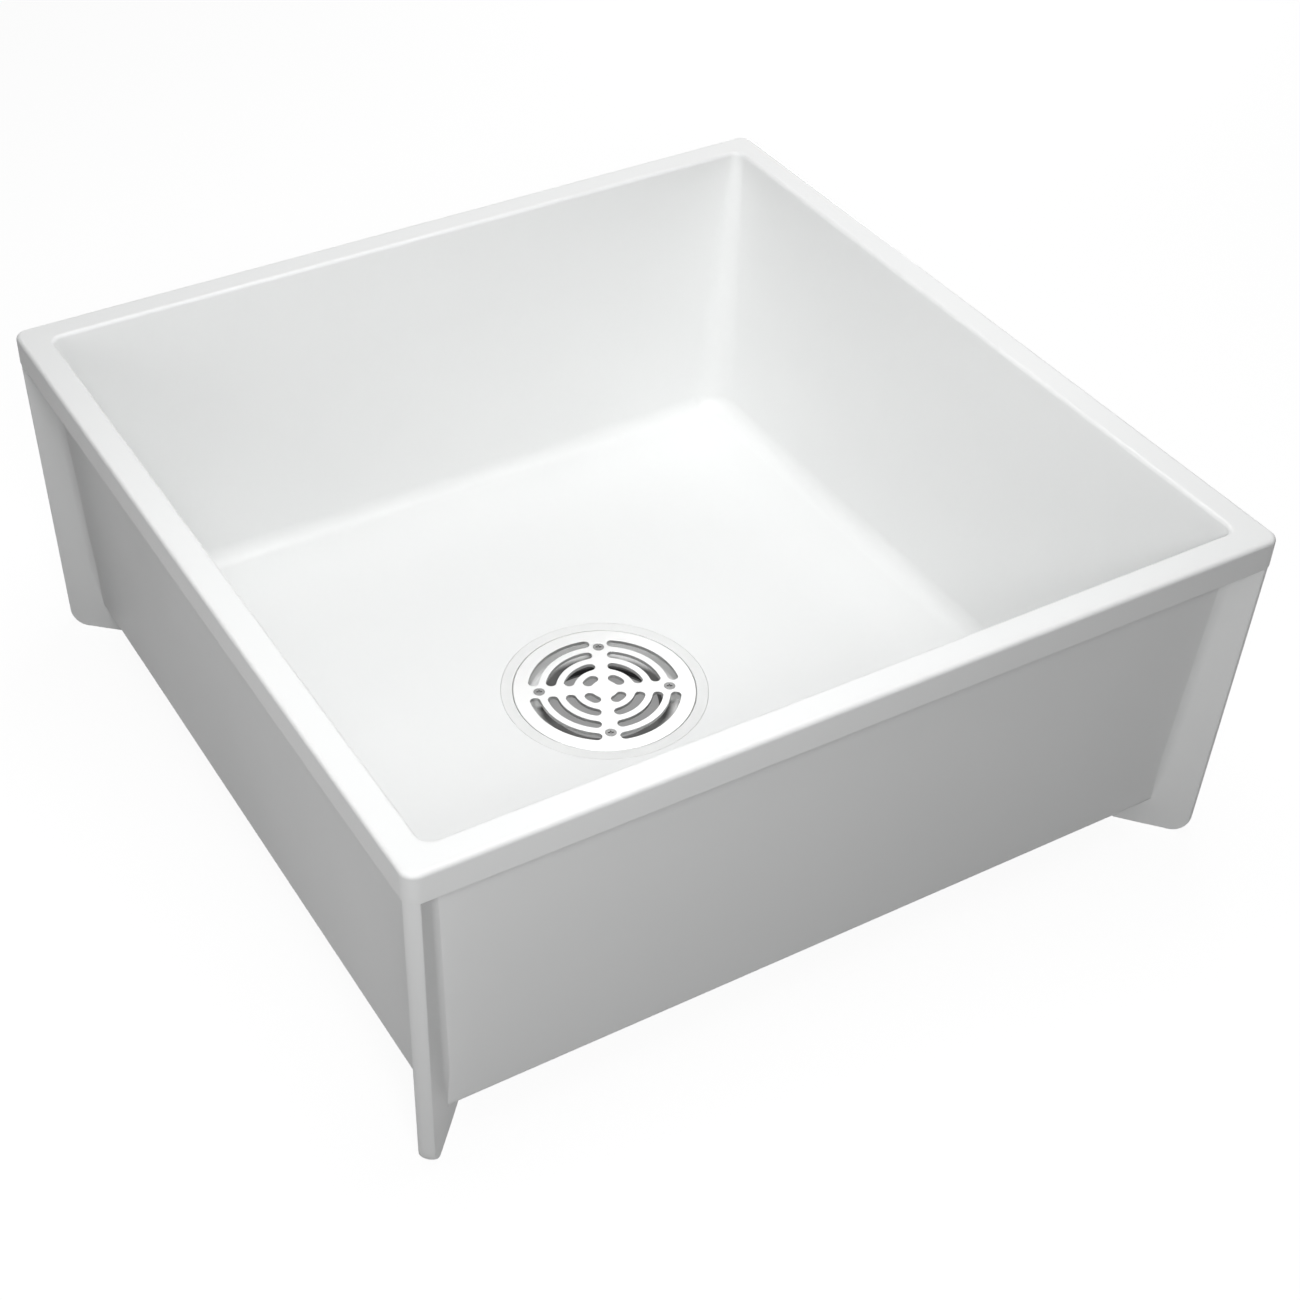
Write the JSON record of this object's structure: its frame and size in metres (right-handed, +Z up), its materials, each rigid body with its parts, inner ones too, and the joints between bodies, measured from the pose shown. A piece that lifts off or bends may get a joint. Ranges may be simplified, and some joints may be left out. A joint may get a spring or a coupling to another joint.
{
  "type": "mop service sink",
  "caption": "Square floor-standing mop basin with a flat rim, recessed aprons on corner legs, a sloped floor and a screwed-down slotted strainer over a clamped drain body.",
  "frame": {"origin": "on the floor under the middle of the basin", "axes": "+Z up; -Y to the front apron, +X to the right seen from the front"},
  "size_m": [0.6096, 0.6096, 0.254],
  "materials": {
    "basin_composite": "satin",
    "drain_plastic": "satin",
    "seal_rubber": "matte",
    "ring_fibre": "matte",
    "strainer_steel": "satin",
    "screw_steel": "satin"
  },
  "bodies": {
    "sink": {"basin": "basin_composite", "drain_body": "drain_plastic", "flange_seal": "seal_rubber", "sealing_washer": "seal_rubber", "friction_ring": "ring_fibre", "locknut": "drain_plastic", "pipe_gasket": "seal_rubber"},
    "strainer_plate": {"strainer": "strainer_steel"},
    "screws": {"strainer_screws": "screw_steel"}
  },
  "joints": [
    {"name": "strainer_lift", "type": "slide", "parent": "sink", "child": "strainer_plate", "axis": [0, 0, 1], "range_m": [0, 0.26]},
    {"name": "screw_withdraw", "type": "slide", "parent": "strainer_plate", "child": "screws", "axis": [0, 0, 1], "range_m": [0, 0.012]}
  ]
}
